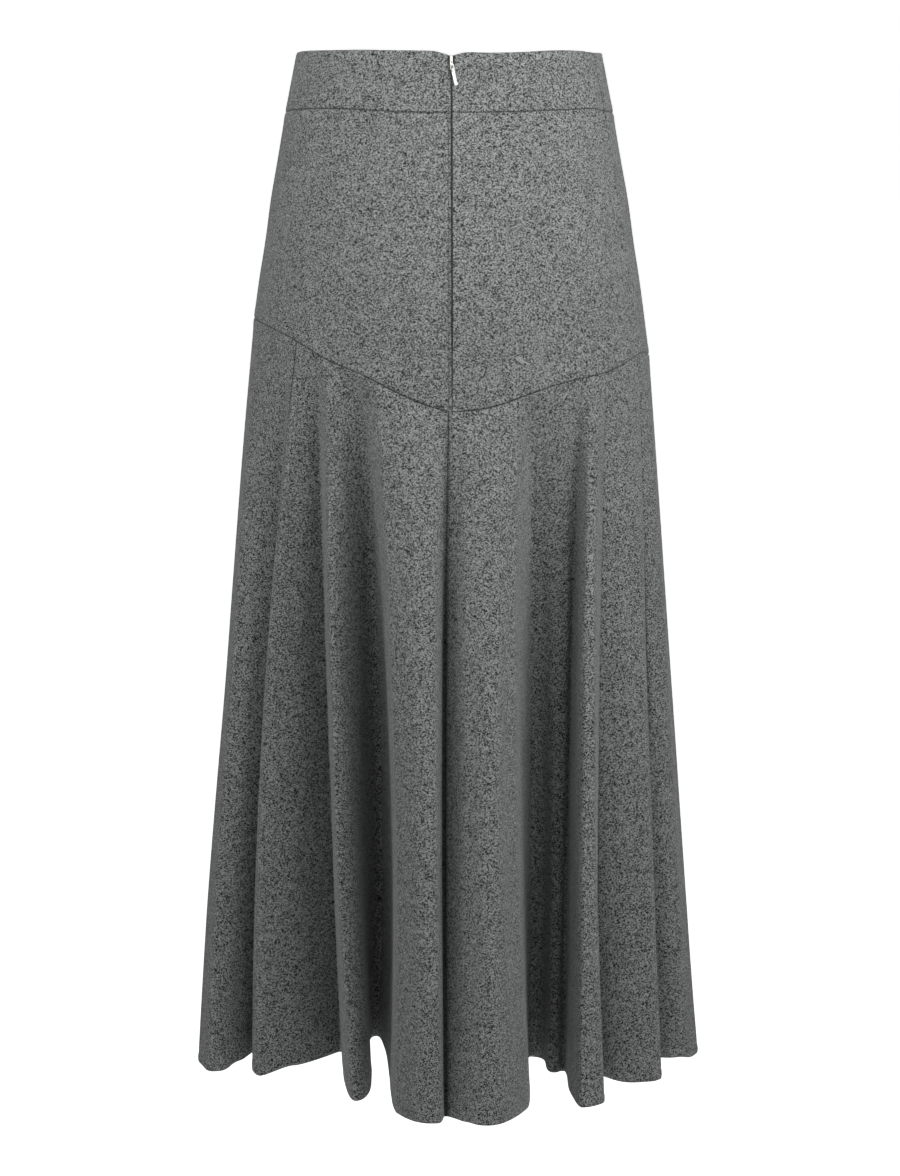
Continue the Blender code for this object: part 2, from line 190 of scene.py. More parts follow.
def onOval(turn, halfWidth, backDepth, frontDepth, power):
    s = np.sin(np.radians(turn))
    c = np.cos(np.radians(turn))
    x = halfWidth * np.sign(s) * np.abs(s) ** (2 / power)
    y = -np.where(c > 0, backDepth, frontDepth) * np.sign(c) * np.abs(c) ** (2 / power)
    return x, y


def bodyPoint(turn, height):
    x, y = onOval(turn, bodySize(height, "halfWidth"), bodySize(height, "backDepth"),
                  bodySize(height, "frontDepth"), squareness)
    return np.stack([x, y, height + 0 * x], -1)


def edgeHeight(turn, name):
    at = column(edgeHeights, edgeColumns, "turn")
    values = column(edgeHeights, edgeColumns, name) * mm
    turn = (np.asarray(turn, float) + 180.0) % 360.0 - 180.0
    height = eased(at, values, turn)
    if name == "top":
        away = np.radians(turn - seamTurns["zip"]) * bodySize(0.0, "backDepth")
        height = height - notch["deep"] * bell(away, notch["wide"])
    return height


def aroundFolds(name):
    values = column(folds, foldColumns, name)        # its last row comes before the first again
    full = 360.0 if name in ("turn", "heading") else 0.0
    return np.concatenate([values[-1:] - full, values, values[:1] + full])


def hemLine(turn):
    turn = np.asarray(turn, float) % 360.0
    at = aroundFolds("turn")
    i = np.clip(np.searchsorted(at, turn, side="right") - 1, 0, len(at) - 2)
    width = at[i + 1] - at[i]
    t = (turn - at[i]) / width
    heading = np.radians(aroundFolds("heading"))
    pace = aroundFolds("pace")
    line = []
    for name, along in (("x", np.cos(heading)), ("y", np.sin(heading))):
        line.append(between(i, t, width, aroundFolds(name), along * pace) * mm)
    soft = t * t * (3 - 2 * t)
    for name in ("rise", "sway", "belly"):
        values = aroundFolds(name)
        line.append((values[i] * (1 - soft) + values[i + 1] * soft) * mm)
    return line


def flarePoint(turn, share):
    top = bodyPoint(turn, edgeHeight(turn, "yokeSeam"))
    x, y, rise, sway, belly = hemLine(turn)
    meanX, meanY = onOval(turn, hem["halfWidth"], hem["halfDepth"], hem["halfDepth"], 2.0)
    deepen = share * (1 + hem["foldOnset"] * (1 - share))
    bow = 4 * share * (1 - share)
    out = np.radians(turn)
    out = np.stack([np.sin(out), -np.cos(out)], -1)
    along = np.stack([-out[..., 1], out[..., 0]], -1)
    plan = (top[..., :2] * (1 - share)[..., None]
            + np.stack([meanX, meanY], -1) * share[..., None]
            + np.stack([x - meanX, y - meanY], -1) * deepen[..., None]
            + along * (sway * bow)[..., None] + out * (belly * bow)[..., None])
    height = top[..., 2] + (hem["height"] + rise - top[..., 2]) * share
    return np.concatenate([plan, height[..., None]], -1)


def bodySurface(upper, lower):
    def place(turn, share):                          # share 0 at the upper edge, 1 at the lower
        high = edgeHeight(turn, upper)
        return bodyPoint(turn, high + (edgeHeight(turn, lower) - high) * share)
    return place


def outwardOf(place, turn, share):
    along = place(turn + 0.02, share) - place(turn - 0.02, share)
    down = place(turn, share + 0.002) - place(turn, share - 0.002)
    out = np.cross(down, along)
    return out / np.linalg.norm(out, axis=-1, keepdims=True)


# Cloth shells: a fine grid for each cut piece, closer together beside its seams
sewing = {
    "cloth": 1.6 * mm,
    "band": 2.4 * mm,
    "meet": 0.01 * mm,           # half the gap between two sewn pieces
    "allowance": 11.0 * mm,      # pressed open behind each seam
    "allowanceThick": 1.2 * mm,
    "allowanceEdge": 0.7 * mm,
    "seamDeep": 0.6 * mm,        # the cloth dips into a seam
    "seamWide": 0.65 * mm,
    "paintedSeamShade": 0.5 * mm,       # width of the painted shade in it
    "swell": 0.22 * mm,          # and stands a little proud beside it
    "swellAway": 4.2 * mm,
    "swellWide": 2.6 * mm,
    "crisp": 0.572 * mm,         # or more so, as a crisp pressed edge
    "crispAway": 2.4 * mm,
    "crispWide": 1.5 * mm,
    "quiet": 0.35,               # share of that on a seam that hardly shows
    "sunkDeep": 1.6 * mm,        # the gores turn in at the back seam, the left one more widely, and painted shade darkens that groove
    "sunkWide": 3.4 * mm,
    "sunkNarrow": 1.8 * mm,
    "sunkPaintedShade": 0.95,
    "sunkFrom": 0.2,             # share of it at the yoke, and how fast it grows down the skirt
    "sunkGrow": 2.6,
    "zipEnds": -223.0 * mm,      # the visible opening, sewn up below over this height
    "sewnUpOver": 6.0 * mm,
    "rollRadius": 1.6 * mm,      # cloth turned in along the concealed zip
    "rollBehind": 0.45 * mm,     # what is left behind it
    "crossFrom": 3.0 * mm,       # a cross seam sinks into the cloth this near to the zip
    "crossOver": 1.5 * mm,
    "crossLeft": 0.1,
    "ditchAway": 2.1 * mm,       # the zip's sewing presses a line beside its left edge, with painted shade along it
    "ditchDeep": 0.4 * mm,
    "ditchWide": 0.5 * mm,
    "ditchFrom": -30.0 * mm,     # it comes in over this height
    "ditchFull": -44.0 * mm,
    "ditchPaintedShade": 0.7,
    "pucker": 0.12 * mm,         # small waves beside a seam
    "puckerLong": 9.0 * mm,
    "puckerWide": 60.0 * mm,
    "puckerReach": 5.0 * mm,
    "puckerSeed": 5,
    "calm": 9.0 * mm,            # no other unevenness this near to a seam
    "hemUp": 9.0 * mm,           # narrow hem, turned up once
    "hemThick": 0.75,            # share of the cloth that it adds
    "hemEdge": 0.8 * mm,
    "hemSwell": 0.3 * mm,
    "hemSwellAway": 4.5 * mm,
    "hemSwellWide": 2.6 * mm,
    "hemSewn": 8.4 * mm,         # height of its stitches
    "hemStitch": 6.5 * mm,       # from one to the next
    "hemDimple": 0.35 * mm,
    "hemDimpleWide": 0.9 * mm,
    "foldRound": 0.62,           # radius of a folded edge, as a share of the thickness
}
sewnKinds = ("seam", "quietSeam", "sunkSeam", "raised")
zipKinds = ("zip", "zipPressed")
besideSeam = np.array([0.0, 0.3, 0.6, 1.0, 1.5, 2.1, 2.9, 4.0]) * mm
belowSeam = np.append(besideSeam, np.array([5.5, 7.5, 10.0, 10.8, 11.6]) * mm)
aboveHem = np.append(besideSeam, np.array([5.5, 7.0, 8.0, 8.6, 9.2, 9.9, 12.0]) * mm)
seamZone = 4.0                   # degrees of turn given to the columns beside a seam
zoneSteps = 6


def softNoise(u, v, seed):
    table = np.random.default_rng(seed).uniform(-1.0, 1.0, (128, 128))
    i, j = np.floor(u).astype(int), np.floor(v).astype(int)
    a, b = u - i, v - j
    a, b = a * a * (3 - 2 * a), b * b * (3 - 2 * b)
    i, j, iNext, jNext = i % 128, j % 128, (i + 1) % 128, (j + 1) % 128
    return ((table[i, j] * (1 - a) + table[iNext, j] * a) * (1 - b)
            + (table[i, jNext] * (1 - a) + table[iNext, jNext] * a) * b)


def hemLength(turn):
    fine = np.linspace(-180.0, 540.0, 14401)
    x, y = hemLine(fine)[:2]
    length = np.concatenate([[0.0], np.cumsum(np.hypot(np.diff(x), np.diff(y)))])
    return np.interp(turn, fine, length)


def middleTurns(start, end, every, bendEvery):
    fine = np.linspace(start, end, 6000)
    x, y = hemLine(fine)[:2]
    length = np.hypot(np.diff(x), np.diff(y))
    heading = np.unwrap(np.arctan2(np.diff(y), np.diff(x)))
    bend = np.abs(np.diff(heading, append=heading[-1]))
    share = np.concatenate([[0.0], np.cumsum(length / every + np.degrees(bend) / bendEvery)])
    return np.interp(np.linspace(0.0, share[-1], int(math.ceil(share[-1])) + 1), share, fine)


# Turns of one row: fixed distances along the cloth beside each end, and the middle ones between
def gridTurns(place, start, end, middle, share):
    row = []
    for at, side in ((start, 1.0), (end, -1.0)):
        nearBy = place(np.array([at - 0.05, at + 0.05]), np.array([share, share]))
        pace = np.linalg.norm(nearBy[1] - nearBy[0]) / 0.1
        far = seamZone * pace
        steps = besideSeam[-1] + (far - besideSeam[-1]) * np.arange(1, zoneSteps) / zoneSteps
        away = np.append(besideSeam, steps)
        away = sewing["meet"] + away * (1 - sewing["meet"] / far)
        row.append(at + side * away / pace)
    return np.concatenate([row[0], middle, row[1][::-1]])


# How far the face is drawn in at this distance from a seam or the zip
def edgeDepth(kind, away):
    if kind in zipKinds:
        inside = np.clip(sewing["rollRadius"] - away, 0.0, sewing["rollRadius"])
        return sewing["rollRadius"] - np.sqrt(np.maximum(sewing["rollRadius"] ** 2 - inside**2, 0.0))
    dip = sewing["seamDeep"] * bell(away, sewing["seamWide"])
    if kind == "raised":
        return dip - sewing["crisp"] * bell(away - sewing["crispAway"], sewing["crispWide"])
    dip = dip - sewing["swell"] * bell(away - sewing["swellAway"], sewing["swellWide"])
    return dip * (sewing["quiet"] if kind == "quietSeam" else 1.0)


# Share of the full thickness at this distance from a folded edge
def foldedShare(away, radius):
    inside = np.clip(1 - away / radius, 0.0, 1.0)
    return np.sqrt(np.maximum(1 - inside**2, 0.02))


# The grid of one piece: each point's turn, and its share of the way from the upper edge down
def clothGrid(place, start, end, middle, rows, kinds):
    extent = np.linalg.norm(place(middle, 0 * middle + 1.0) - place(middle, 0 * middle), axis=-1).mean()
    upperSteps = belowSeam if kinds["upper"] != "fold" else besideSeam
    lowerSteps = aboveHem if kinds["lower"] == "hem" else belowSeam
    inner = np.linspace(upperSteps[-1], extent - lowerSteps[-1], rows)[1:-1]
    fromTop = np.concatenate([upperSteps, inner, extent - lowerSteps[::-1]])
    lead = sewing["meet"] if kinds["upper"] != "fold" else 0.0
    trail = sewing["meet"] if kinds["lower"] != "hem" else 0.0
    share = (lead + fromTop * (extent - lead - trail) / extent) / extent
    turn = np.array([gridTurns(place, start, end, middle, s) for s in share])
    return turn, np.repeat(share[:, None], turn.shape[1], 1)


# The slider holds the zip's two edges apart
def openedTurns(place, start, end, turn, share, kinds):
    height = place(turn, share)[..., 2]
    top = float(edgeHeight(seamTurns["zip"], "top"))
    s = np.clip(1 - (top - height) / opening["down"], 0.0, 1.0)
    half = opening["seamGap"] / 2 + (opening["half"] - opening["seamGap"] / 2) * s * s * (3 - 2 * s)
    reach = np.degrees(half / bodySize(height, "backDepth"))
    along = (turn - start) / (end - start)
    return turn + reach * (1 - along) ** 3 if kinds["start"] == "zip" else turn - reach * along**3


def awayFromEdges(base):
    across = np.linalg.norm(np.diff(base, axis=1), axis=-1)
    fromStart = np.concatenate([0 * base[:, :1, 0], np.cumsum(across, 1)], 1)
    downward = np.linalg.norm(np.diff(base, axis=0), axis=-1)
    fromUpper = np.concatenate([0 * base[:1, :, 0], np.cumsum(downward, 0)], 0)
    return {"start": fromStart, "end": fromStart[:, -1:] - fromStart,
            "upper": fromUpper, "lower": fromUpper[-1:] - fromUpper}


# What sewing does to the cloth: how deep its face lies, how thick it is with what lies behind, how
# much painted shade darkens the seam lines, how calm the cloth beside it, and how much of the puckers shows
def sewnEdges(kinds, away, height, share, thick):
    depth, paintedShade, puckered = 0 * height, 0 * height, 0 * height
    calm, thickness = 1 + 0 * height, thick + 0 * height
    zipEdge = [edge for edge, kind in kinds.items() if kind in zipKinds]
    for edge, kind in kinds.items():
        if kind in ("fold", "hem"):
            continue
        near = away[edge]
        shown = sewing["quiet"] if kind == "quietSeam" else 1.0
        dip = edgeDepth(kind, near)
        if zipEdge and edge in ("upper", "lower"):
            shown = np.clip((away[zipEdge[0]] - sewing["crossFrom"]) / sewing["crossOver"],
                            sewing["crossLeft"], 1.0)
            dip = dip * shown
        if kind in sewnKinds:
            step = np.clip((sewing["allowance"] - near) / sewing["allowanceEdge"], 0.0, 1.0)
            thickness = np.maximum(thickness, thick + sewing["allowanceThick"] * step)
        # painted shade in the back seam's groove, on top of its sunk depth
        if kind == "sunkSeam":
            wide = sewing["sunkWide"] if edge == "end" else sewing["sunkNarrow"]
            sunk = np.clip(sewing["sunkFrom"] + sewing["sunkGrow"] * share, 0.0, 1.0) * bell(near, wide)
            dip = dip + sewing["sunkDeep"] * sunk
            paintedShade = np.maximum(paintedShade, sewing["sunkPaintedShade"] * sunk)
        if kind in zipKinds:
            thickness = np.maximum(thickness, dip + sewing["rollBehind"])
            sewnUp = np.clip((sewing["zipEnds"] - height) / sewing["sewnUpOver"], 0.0, 1.0)
            dip = dip * (1 - sewnUp) + edgeDepth("quietSeam", near) * sewnUp
            shown = 1 - sewnUp + sewing["quiet"] * sewnUp
        # painted shade along the pressed ditch beside the zip
        if kind == "zipPressed":
            low = (sewing["ditchFrom"] - height) / (sewing["ditchFrom"] - sewing["ditchFull"])
            ditch = np.clip(low, 0.0, 1.0) * bell(near - sewing["ditchAway"], sewing["ditchWide"])
            dip = dip + sewing["ditchDeep"] * ditch
            paintedShade = np.maximum(paintedShade, sewing["ditchPaintedShade"] * ditch)
        depth = depth + dip
        # painted shade along each seam and along the zip's rolled-in edges
        paintedShade = np.maximum(paintedShade, shown * bell(near, sewing["paintedSeamShade"]))
        calm = calm * (1 - bell(near, sewing["calm"]))
        puckered = puckered + bell(near - sewing["puckerReach"], sewing["puckerReach"])
    return depth, thickness, paintedShade, calm, puckered


# A closed shell; kinds says what its start, end, upper and lower edges are
def clothShell(name, place, start, end, middle, rows, kinds, thick, rumple, material):
    turn, share = clothGrid(place, start, end, middle, rows, kinds)
    zipEdge = [edge for edge in ("start", "end") if kinds[edge] in zipKinds]
    if zipEdge:
        turn = openedTurns(place, start, end, turn, share, kinds)
    base = place(turn, share)
    out = outwardOf(place, turn, share)
    for edge, at, side in (("start", start, 0), ("end", end, -1)):
        if edge not in zipEdge:                       # both pieces of a seam turn their edge one way
            out[:, side] = outwardOf(place, at + 0 * turn[:, side], share[:, side])
    away = awayFromEdges(base)
    depth, thickness, paintedShade, calm, puckered = sewnEdges(kinds, away, base[..., 2], share, thick)
    pucker = softNoise(away["upper"] / sewing["puckerLong"], away["start"] / sewing["puckerWide"],
                       sewing["puckerSeed"])
    swing = (rumple(turn, share) + sewing["pucker"] * pucker * puckered) * calm
    if kinds["lower"] == "hem":
        up = away["lower"]
        step = np.clip((sewing["hemUp"] - up) / sewing["hemEdge"], 0.0, 1.0)
        thickness = np.maximum(thickness, thick * (1 + sewing["hemThick"] * step))
        waves = 0.5 + 0.5 * np.cos(2 * math.pi * away["start"] / sewing["hemStitch"])
        dimple = bell(up - sewing["hemSewn"], sewing["hemDimpleWide"]) * (0.6 + 0.4 * waves)
        depth = depth + sewing["hemDimple"] * dimple
        swing = swing + sewing["hemSwell"] * bell(up - sewing["hemSwellAway"], sewing["hemSwellWide"])
    face = base + out * swing[..., None]
    outer = face - out * depth[..., None]
    inner = face - out * thickness[..., None]
    for edge, kind in kinds.items():
        if kind in ("fold", "hem"):
            full = foldedShare(away[edge], sewing["foldRound"] * thickness)[..., None]
            middleLine = (outer + inner) / 2
            outer = middleLine + (outer - middleLine) * full
            inner = middleLine + (inner - middleLine) * full
    piece = shellMesh(name, outer, inner, away["start"], away["upper"], paintedShade, material)
    wide, tall = float(away["start"][:, -1].max()), float(away["upper"][-1].max())
    sewnRow = outer[-1 - int(np.searchsorted(aboveHem, sewing["hemSewn"])), 6:-6]
    return piece, wide, tall, clothArea(base), sewnRow


def clothArea(grid):
    a = np.cross(grid[1:, :-1] - grid[:-1, :-1], grid[:-1, 1:] - grid[:-1, :-1])
    b = np.cross(grid[1:, :-1] - grid[1:, 1:], grid[:-1, 1:] - grid[1:, 1:])
    return float((np.linalg.norm(a, axis=-1) + np.linalg.norm(b, axis=-1)).sum() / 2)


def shellMesh(name, outer, inner, along, down, paintedShade, material):
    rows, columns = outer.shape[:2]
    count = rows * columns
    points = np.concatenate([outer.reshape(-1, 3), inner.reshape(-1, 3)])
    index = np.arange(count).reshape(rows, columns)
    a, b, low, lowNext = index[:-1, :-1], index[:-1, 1:], index[1:, :-1], index[1:, 1:]
    front = np.stack([a, low, lowNext, b], -1).reshape(-1, 4)
    behind = np.stack([a, b, lowNext, low], -1).reshape(-1, 4) + count
    rims = []
    for edge, turned in ((index[0], False), (index[-1], True), (index[:, 0], True), (index[:, -1], False)):
        p, q = edge[:-1], edge[1:]
        if turned:
            p, q = q, p
        rims.append(np.stack([p, q, q + count, p + count], -1))
    faces = np.concatenate([front, behind, *rims])
    mesh = bpy.data.meshes.new(name)
    mesh.vertices.add(len(points))
    mesh.vertices.foreach_set("co", points.astype(np.float32).ravel())
    mesh.loops.add(faces.size)
    mesh.loops.foreach_set("vertex_index", faces.astype(np.int32).ravel())
    mesh.polygons.add(len(faces))
    mesh.polygons.foreach_set("loop_start", np.arange(0, faces.size, 4, dtype=np.int32))
    mesh.update(calc_edges=True)
    mesh.validate()
    uv = np.stack([np.tile((along - along[:, -1:] / 2).ravel(), 2), np.tile(-down.ravel(), 2)], -1)
    layer = mesh.uv_layers.new(name="cloth")
    layer.data.foreach_set("uv", uv[faces.ravel()].astype(np.float32).ravel())
    # painted shade along the seams and the zip's edges; the cloth's material darkens its colour by this
    shade = mesh.attributes.new("paintedSeamShade", "FLOAT", "POINT")
    shade.data.foreach_set("value", np.tile(paintedShade.ravel(), 2).astype(np.float32))
    mesh.shade_smooth()
    mesh.set_sharp_from_angle(angle=math.radians(62.0))
    mesh.materials.append(material)
    piece = bpy.data.objects.new(name, mesh)
    scene.collection.objects.link(piece)
    return piece


# Shader groups
def newGroup(name, inputs, outputs):
    group = bpy.data.node_groups.new(name, "ShaderNodeTree")
    for label, kind, value in inputs:
        socket = group.interface.new_socket(name=label, in_out="INPUT", socket_type=kind)
        if value is not None:
            socket.default_value = value
    for label, kind in outputs:
        group.interface.new_socket(name=label, in_out="OUTPUT", socket_type=kind)
    return group, group.nodes.new("NodeGroupInput"), group.nodes.new("NodeGroupOutput")


def addNode(tree, kind, settings=None, **inputs):
    node = tree.nodes.new(kind)
    for key, value in (settings or {}).items():
        setattr(node, key, value)
    for key, value in inputs.items():
        socket = node.inputs[int(key[1:])] if key[0] == "_" else node.inputs[key]
        if isinstance(value, bpy.types.NodeSocket):
            tree.links.new(value, socket)
        else:
            socket.default_value = value
    return node


def noiseOf(tree, vector, scale, detail=1.0, rough=0.5):
    return addNode(tree, "ShaderNodeTexNoise", Vector=vector, Scale=scale, Detail=detail,
                   Roughness=rough).outputs["Fac"]


def maths(tree, operation, a, b, clamp=False):
    return addNode(tree, "ShaderNodeMath", {"operation": operation, "use_clamp": clamp},
                   _0=a, _1=b).outputs[0]


def spread(tree, value, low, high, toLow, toHigh):
    return addNode(tree, "ShaderNodeMapRange", {"clamp": True}, _0=value, _1=low, _2=high,
                   _3=toLow, _4=toHigh).outputs[0]


def swungBy(tree, value, size):                      # a value between 0 and 1, turned to one round 0
    return maths(tree, "MULTIPLY", maths(tree, "SUBTRACT", value, 0.5), size)


def blended(tree, share, dark, light):
    return addNode(tree, "ShaderNodeMix", {"data_type": "RGBA"}, _0=share, _6=dark, _7=light).outputs[2]


# Melange: dark and light wool fibres mixed before spinning, with short fibres lying askew in the nap
melange = {
    "frayScale": 2600.0,         # frays the tufts' outlines
    "frayPush": 0.7 * mm,
    "tuftWeight": 0.9,
    "fibreLong": 1.1 * mm,
    "fibreThick": 0.4 * mm,
    "fibreTurns": (41.0, -49.0),
    "fibreWeight": 0.26,
    "mottleScale": 160.0,
    "mottleWeight": 0.2,
    "middle": 0.4,
}


def buildMelange(look):
    group, inp, out = newGroup("melangeWool", [
        ("Place", "NodeSocketVector", None), ("Cloth", "NodeSocketVector", None),
        ("Dark", "NodeSocketColor", (0.05, 0.05, 0.05, 1.0)),
        ("Light", "NodeSocketColor", (0.4, 0.4, 0.4, 1.0)),
        ("Tuft Scale", "NodeSocketFloat", 1200.0), ("Contrast", "NodeSocketFloat", 1.0),
    ], [("Color", "NodeSocketColor"), ("Height", "NodeSocketFloat")])
    place, cloth = inp.outputs["Place"], inp.outputs["Cloth"]
    scale = inp.outputs["Tuft Scale"]
    frayed = addNode(group, "ShaderNodeTexNoise", Vector=place, Scale=look["frayScale"], Detail=1.0)
    pushed = addNode(group, "ShaderNodeVectorMath", {"operation": "MULTIPLY_ADD"},
                     _0=frayed.outputs["Color"], _1=(look["frayPush"],) * 3, _2=place)
    tufts = addNode(group, "ShaderNodeTexVoronoi", Vector=pushed.outputs[0], Scale=scale)
    tuft = addNode(group, "ShaderNodeSeparateColor", Color=tufts.outputs["Color"]).outputs[0]
    total = swungBy(group, tuft, look["tuftWeight"])
    for channel, turned in enumerate(look["fibreTurns"], 1):
        mapping = addNode(group, "ShaderNodeMapping", {"vector_type": "TEXTURE"}, Vector=cloth,
                          Rotation=(0.0, 0.0, math.radians(turned)),
                          Scale=(look["fibreLong"], look["fibreThick"], 1.0))
        fibres = addNode(group, "ShaderNodeTexVoronoi", {"voronoi_dimensions": "2D"},
                         Vector=mapping.outputs[0], Scale=1.0)
        fibre = addNode(group, "ShaderNodeSeparateColor", Color=fibres.outputs["Color"]).outputs[channel]
        total = maths(group, "ADD", total, swungBy(group, fibre, look["fibreWeight"]))
    mottle = noiseOf(group, place, look["mottleScale"], 2.0, 0.6)
    total = maths(group, "ADD", total, swungBy(group, mottle, look["mottleWeight"]))
    total = maths(group, "MULTIPLY", total, inp.outputs["Contrast"])
    total = maths(group, "ADD", total, look["middle"], True)
    color = blended(group, total, inp.outputs["Dark"], inp.outputs["Light"])
    group.links.new(color, out.inputs["Color"])
    group.links.new(total, out.inputs["Height"])
    return group


# Weave: ribs of yarn along and across a tape or thread, with painted shade making the colour darker between
# the ribs
def buildWeave():
    group, inp, out = newGroup("tapeWeave", [
        ("Cloth", "NodeSocketVector", None), ("Pitch", "NodeSocketFloat", 0.0006),
        ("Dark", "NodeSocketColor", (0.02, 0.02, 0.02, 1.0)),
        ("Light", "NodeSocketColor", (0.1, 0.1, 0.1, 1.0)),
    ], [("Color", "NodeSocketColor"), ("Height", "NodeSocketFloat")])
    split = addNode(group, "ShaderNodeSeparateXYZ", Vector=inp.outputs["Cloth"])
    waves = []
    for axis, stretch in ((0, 0.5), (1, 1.0)):
        turns = maths(group, "DIVIDE", split.outputs[axis], inp.outputs["Pitch"])
        wave = maths(group, "SINE", maths(group, "MULTIPLY", turns, 2 * math.pi * stretch), 0.0)
        waves.append(spread(group, wave, -1.0, 1.0, 0.0, 1.0))
    total = maths(group, "MULTIPLY", maths(group, "ADD", waves[0], waves[1]), 0.5)
    color = blended(group, total, inp.outputs["Dark"], inp.outputs["Light"])
    group.links.new(color, out.inputs["Color"])
    group.links.new(total, out.inputs["Height"])
    return group


melangeGroup = buildMelange(melange)
weaveGroup = buildWeave()


def newMaterial(name):
    material = bpy.data.materials.new(name)
    material.use_nodes = True
    tree = material.node_tree
    return material, tree, tree.nodes["Principled BSDF"]


def addBump(tree, shader, height, distance, strength=1.0):
    bump = addNode(tree, "ShaderNodeBump", Height=height, Distance=distance, Strength=strength)
    tree.links.new(bump.outputs[0], shader.inputs["Normal"])


flannelLook = {
    "dark": (0.0136, 0.0142, 0.014, 1.0),
    "light": (0.397, 0.414, 0.408, 1.0),
    "tuftScale": 1600.0,
    "contrast": 2.2,
    "roughness": 0.95,
    "specular": 0.15,
    "sheen": 0.3,
    "sheenRoughness": 0.5,
    "sheenTint": (0.9, 0.92, 0.9, 1.0),
    "napHeight": 0.35 * mm,
    # painted shade: how much of the colour the seam attribute takes away
    "paintedShadeStrength": 0.9,
}


def makeFlannel(look):
    material, tree, shader = newMaterial("greyWoolFlannel")
    coords = addNode(tree, "ShaderNodeTexCoord")
    wool = addNode(tree, "ShaderNodeGroup", {"node_tree": melangeGroup},
                   Place=coords.outputs["Object"], Cloth=coords.outputs["UV"],
                   Dark=look["dark"], Light=look["light"], Contrast=look["contrast"])
    wool.inputs["Tuft Scale"].default_value = look["tuftScale"]
    # Painted shade: the seam attribute darkens the wool's colour along the seams, in the back seam's groove
    # and at the zip's edges
    seam = addNode(tree, "ShaderNodeAttribute", {"attribute_name": "paintedSeamShade"})
    paintedShadeFactor = maths(tree, "SUBTRACT", 1.0, maths(tree, "MULTIPLY", seam.outputs["Fac"], look["paintedShadeStrength"]))
    shaded = addNode(tree, "ShaderNodeVectorMath", {"operation": "SCALE"})
    tree.links.new(wool.outputs["Color"], shaded.inputs[0])
    tree.links.new(paintedShadeFactor, shaded.inputs["Scale"])
    tree.links.new(shaded.outputs[0], shader.inputs["Base Color"])
    shader.inputs["Roughness"].default_value = look["roughness"]
    shader.inputs["Specular IOR Level"].default_value = look["specular"]
    shader.inputs["Sheen Weight"].default_value = look["sheen"]
    shader.inputs["Sheen Roughness"].default_value = look["sheenRoughness"]
    shader.inputs["Sheen Tint"].default_value = look["sheenTint"]
    addBump(tree, shader, wool.outputs["Height"], look["napHeight"])
    return material


# painted shade: the tape's colour runs from light on its ribs to dark between them
tapeLook = {"dark": (0.02, 0.02, 0.021, 1.0), "light": (0.075, 0.075, 0.08, 1.0), "pitch": 0.7 * mm,
            "roughness": 0.8, "ribHeight": 0.15 * mm}


def makeTapeCloth(look):
    material, tree, shader = newMaterial("darkZipTape")
    coords = addNode(tree, "ShaderNodeTexCoord")
    weave = addNode(tree, "ShaderNodeGroup", {"node_tree": weaveGroup}, Cloth=coords.outputs["UV"],
                    Pitch=look["pitch"], Dark=look["dark"], Light=look["light"])
    tree.links.new(weave.outputs["Color"], shader.inputs["Base Color"])
    shader.inputs["Roughness"].default_value = look["roughness"]
    addBump(tree, shader, weave.outputs["Height"], look["ribHeight"])
    return material


metalLook = {"color": (0.86, 0.85, 0.83, 1.0), "roughLow": 0.1, "roughHigh": 0.26, "scuffScale": 700.0,
             "scuffDeep": 0.02 * mm}


def makeNickel(look):
    material, tree, shader = newMaterial("polishedNickel")
    coords = addNode(tree, "ShaderNodeTexCoord")
    scuff = noiseOf(tree, coords.outputs["Object"], look["scuffScale"], 3.0, 0.6)
    rough = spread(tree, scuff, 0.35, 0.7, look["roughLow"], look["roughHigh"])
    tree.links.new(rough, shader.inputs["Roughness"])
    shader.inputs["Base Color"].default_value = look["color"]
    shader.inputs["Metallic"].default_value = 1.0
    addBump(tree, shader, scuff, look["scuffDeep"])
    return material


nylonLook = {"scale": 900.0, "rough": 0.5, "dark": (0.018, 0.018, 0.02, 1.0),
             "light": (0.05, 0.05, 0.053, 1.0), "roughness": 0.38}
threadLook = {"scale": 2600.0, "rough": 0.6, "dark": (0.1, 0.102, 0.1, 1.0),
              "light": (0.3, 0.305, 0.3, 1.0), "roughness": 0.75, "twistDeep": 0.05 * mm}


def makeStrand(name, look):
    material, tree, shader = newMaterial(name)
    coords = addNode(tree, "ShaderNodeTexCoord")
    cloud = noiseOf(tree, coords.outputs["Object"], look["scale"], 2.0, look["rough"])
    tree.links.new(blended(tree, cloud, look["dark"], look["light"]), shader.inputs["Base Color"])
    shader.inputs["Roughness"].default_value = look["roughness"]
    if "twistDeep" in look:
        addBump(tree, shader, cloud, look["twistDeep"])
    return material


flannel = makeFlannel(flannelLook)
tapeCloth = makeTapeCloth(tapeLook)
nickel = makeNickel(metalLook)
nylon = makeStrand("nylonCoil", nylonLook)
thread = makeStrand("hemThread", threadLook)
print("materials made")


# Unevenness of the cloth; each wave starts at its own place in the noise
bodyWave = {"amount": 0.35 * mm, "across": 55 * mm, "down": 70 * mm, "radius": 130 * mm, "from": 40.0,
            "seed": 11}
flareWave = {"amount": 1.5 * mm, "across": 34 * mm, "down": 230 * mm, "long": 560 * mm, "from": 9.0,
             "seed": 23, "small": 0.35 * mm, "smallAcross": 2.3, "smallDown": 3.1, "smallFrom": 3.0,
             "grow": 2.2}


def bodyRumple(place):
    def rumple(turn, share):
        along = np.radians(turn) * bodyWave["radius"] / bodyWave["across"]
        up = place(turn, share)[..., 2] / bodyWave["down"]
        return bodyWave["amount"] * softNoise(along, up + bodyWave["from"], bodyWave["seed"])
    return rumple


